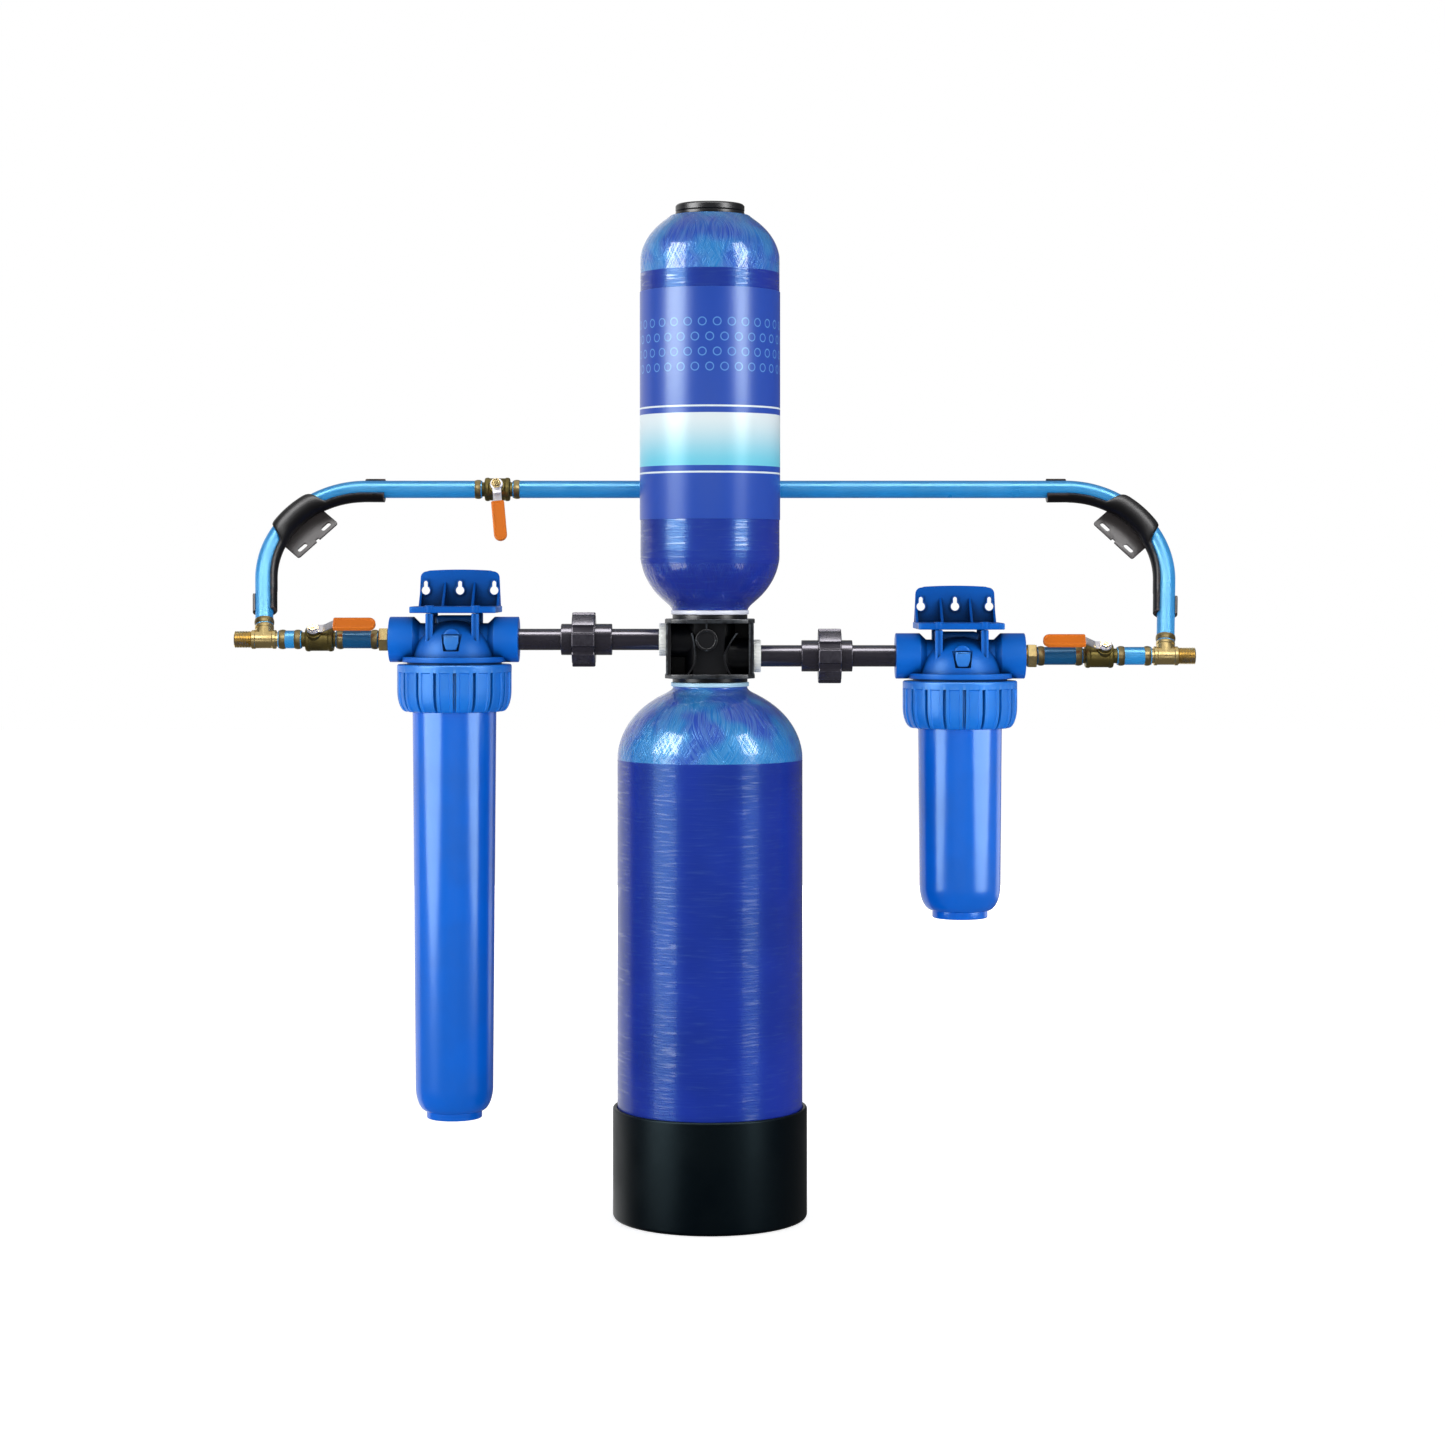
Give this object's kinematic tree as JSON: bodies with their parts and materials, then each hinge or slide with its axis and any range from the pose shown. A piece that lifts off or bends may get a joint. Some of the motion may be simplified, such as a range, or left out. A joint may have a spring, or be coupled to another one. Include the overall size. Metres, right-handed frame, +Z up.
{
  "type": "whole house water filter",
  "caption": "Whole house water filter: stacked media tanks in a boot, a filter housing each side, isolating valves and a bypass pipe behind.",
  "frame": {"origin": "the middle of the boot's underside, on the tanks' axis", "axes": "+Z up along the tanks' axis, +X towards the outlet (right, seen from the front), -Y towards the front"},
  "size_m": [1.1903, 0.2406, 1.2538],
  "materials": {
    "boot": "moulded black, semi-matt",
    "tank": "filament-wound, blue resin, glossy",
    "media": "granular bed",
    "black": "moulded black, satin",
    "gasket": "pale blue rubber",
    "label": "printed film wrap, glossy",
    "pvc": "dark grey extruded pipe",
    "union": "grey moulded",
    "collar": "pale grey-green moulded",
    "head": "blue moulded, satin",
    "ring_nut": "light blue moulded, satin",
    "sump": "glossy blue moulded",
    "seal": "black rubber",
    "cartridge": "pleated white filter cloth",
    "pex": "blue PEX tube",
    "brass": "cast brass, dull",
    "steel": "bright zinc-plated steel",
    "vinyl": "orange dipped vinyl",
    "support": "moulded black, satin"
  },
  "bodies": {
    "system": {"boot": "boot", "lower_tank": "tank", "lower_media": "media", "lower_riser": "pvc", "lower_gasket": "gasket", "manifold": "black", "upper_gasket": "gasket", "upper_tank": "tank", "upper_media": "media", "upper_riser": "pvc", "neck_ring": "black", "top_plug": "black", "tank_label": "label", "pre_head": "head", "pre_bracket": "head", "post_head": "head", "post_bracket": "head", "inlet_collar": "collar", "inlet_union_body": "union", "inlet_union_tail": "union", "inlet_adapter": "brass", "inlet_long_stub": "pex", "inlet_short_stub": "pex", "inlet_valve_body": "brass", "inlet_tee": "brass", "inlet_bypass_pipe": "pex", "inlet_bend_support": "support", "outlet_collar": "collar", "outlet_union_body": "union", "outlet_union_tail": "union", "outlet_adapter": "brass", "outlet_long_stub": "pex", "outlet_short_stub": "pex", "outlet_valve_body": "brass", "outlet_tee": "brass", "outlet_bypass_pipe": "pex", "outlet_bend_support": "support", "bypass_valve_body": "brass"},
    "pre_bowl": {"pre_sump": "sump", "pre_cartridge": "cartridge", "pre_o_ring": "seal"},
    "pre_nut": {"pre_ring_nut": "ring_nut"},
    "post_bowl": {"post_sump": "sump", "post_cartridge": "cartridge", "post_o_ring": "seal"},
    "post_nut": {"post_ring_nut": "ring_nut"},
    "pre_button": {"pre_relief_button": "head"},
    "post_button": {"post_relief_button": "head"},
    "inlet_nut": {"inlet_union_nut": "union"},
    "outlet_nut": {"outlet_union_nut": "union"},
    "inlet_handle": {"inlet_valve_ball": "brass", "inlet_lever": "steel", "inlet_grip": "vinyl"},
    "outlet_handle": {"outlet_valve_ball": "brass", "outlet_lever": "steel", "outlet_grip": "vinyl"},
    "bypass_handle": {"bypass_valve_ball": "brass", "bypass_lever": "steel", "bypass_grip": "vinyl"}
  },
  "joints": [
    {"name": "pre_bowl_drop", "type": "slide", "parent": "system", "child": "pre_bowl", "axis": [0, 0, -1], "range_m": [0, 0.1]},
    {"name": "pre_nut_turn", "type": "hinge", "parent": "pre_bowl", "child": "pre_nut", "pos_m": [-0.3168, 0, 0.655], "axis": [0, 0, 1], "range_deg": [-540, 0]},
    {"name": "post_bowl_drop", "type": "slide", "parent": "system", "child": "post_bowl", "axis": [0, 0, -1], "range_m": [0, 0.1]},
    {"name": "post_nut_turn", "type": "hinge", "parent": "post_bowl", "child": "post_nut", "pos_m": [0.3098, 0, 0.635], "axis": [0, 0, 1], "range_deg": [-540, 0]},
    {"name": "pre_button_press", "type": "slide", "parent": "system", "child": "pre_button", "axis": [0, 1, 0], "range_m": [0, 0.0025], "stiffness_N_per_m": 400},
    {"name": "post_button_press", "type": "slide", "parent": "system", "child": "post_button", "axis": [0, 1, 0], "range_m": [0, 0.0025], "stiffness_N_per_m": 400},
    {"name": "inlet_union_turn", "type": "hinge", "parent": "system", "child": "inlet_nut", "pos_m": [-0.156, 0, 0.7149], "axis": [1, 0, 0], "continuous": true},
    {"name": "outlet_union_turn", "type": "hinge", "parent": "system", "child": "outlet_nut", "pos_m": [0.148, 0, 0.6945], "axis": [1, 0, 0], "continuous": true},
    {"name": "inlet_lever_turn", "type": "hinge", "parent": "system", "child": "inlet_handle", "pos_m": [-0.4897, 0, 0.7149], "axis": [0, 0.7771, -0.6293], "range_deg": [0, 90]},
    {"name": "outlet_lever_turn", "type": "hinge", "parent": "system", "child": "outlet_handle", "pos_m": [0.4882, 0, 0.6945], "axis": [0, 0.7771, -0.6293], "range_deg": [-90, 0]},
    {"name": "bypass_lever_turn", "type": "hinge", "parent": "system", "child": "bypass_handle", "pos_m": [-0.271, 0.1011, 0.904], "axis": [0, 0.9613, -0.2756], "range_deg": [-84, 6]}
  ]
}
